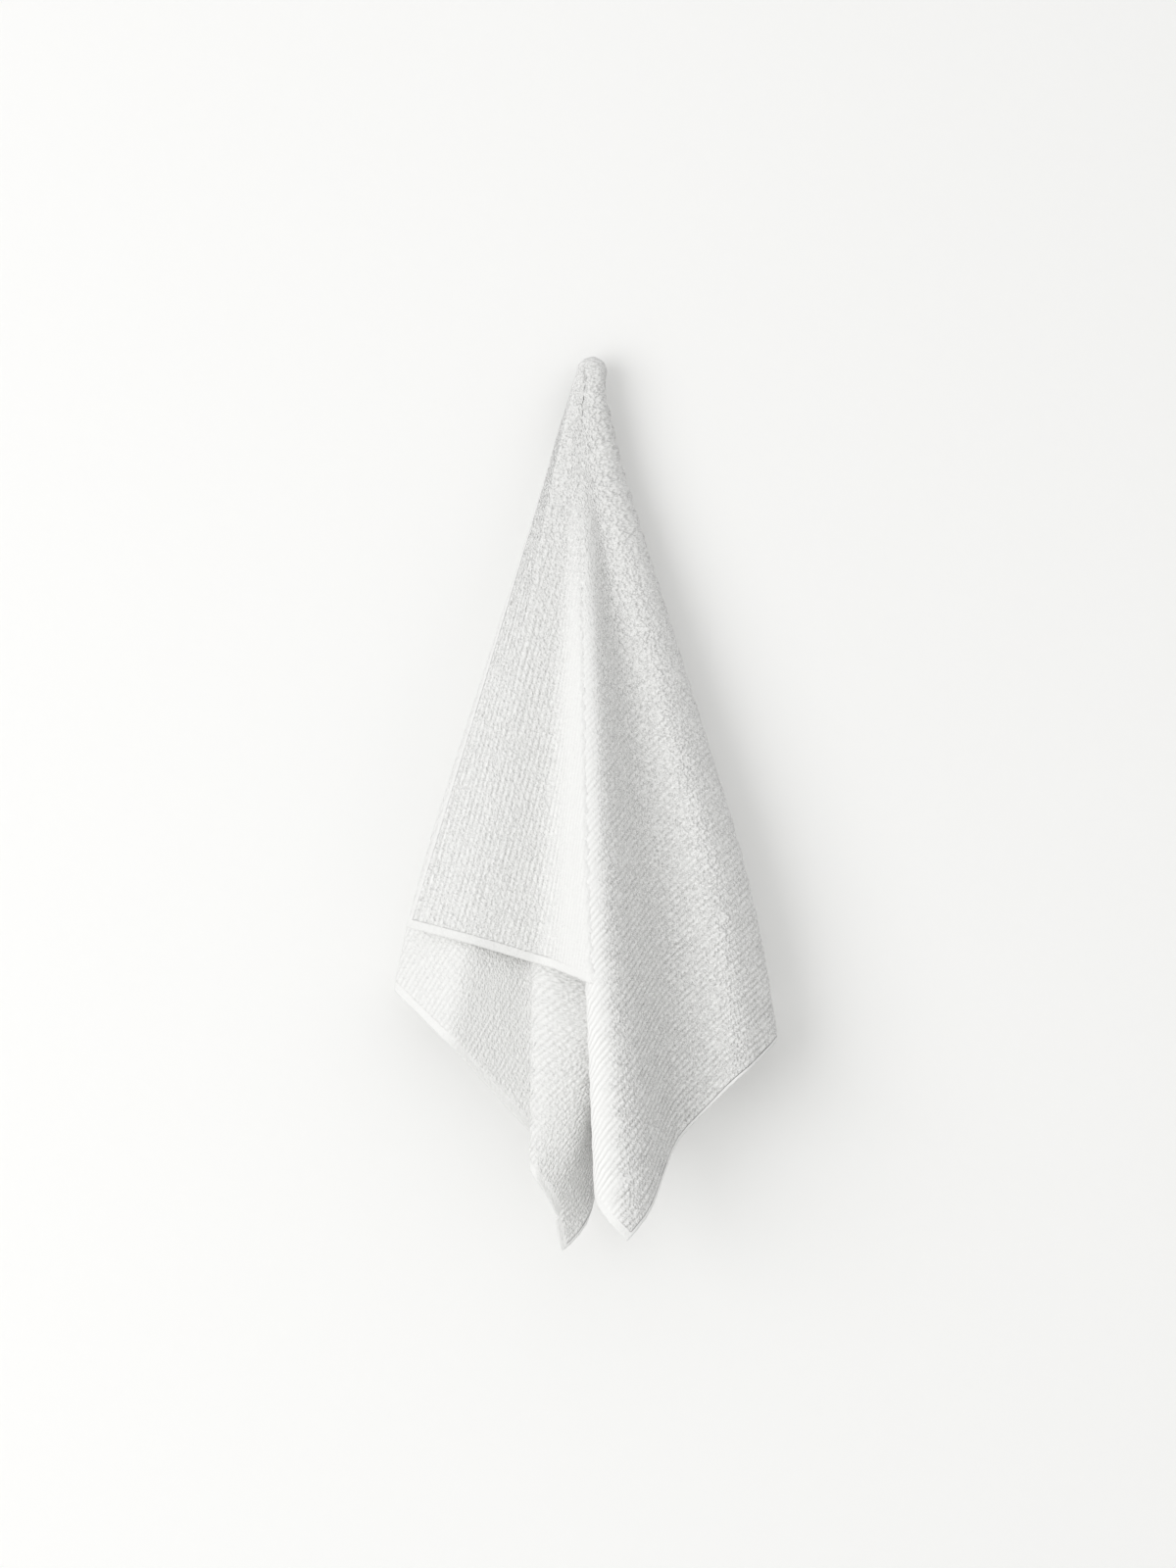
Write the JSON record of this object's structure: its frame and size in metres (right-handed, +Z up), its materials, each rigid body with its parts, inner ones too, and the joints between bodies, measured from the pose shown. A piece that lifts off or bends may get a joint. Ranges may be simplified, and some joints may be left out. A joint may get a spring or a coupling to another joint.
{
  "type": "hand towel",
  "caption": "White ribbed terry hand towel hung from one point by a peg, its cloth falling in deep soft folds with the corners down.",
  "frame": {"origin": "the seat of the peg, on the inner side of the cloth under the tip", "axes": "+Z up, -Y towards the front of the towel, +Y towards the wall, +X to the right as seen from the front"},
  "size_m": [0.282, 0.1404, 0.6579],
  "materials": {
    "terry": "ribbed cotton terry, matt"
  },
  "bodies": {
    "root": {"towel": "terry"}
  },
  "joints": []
}
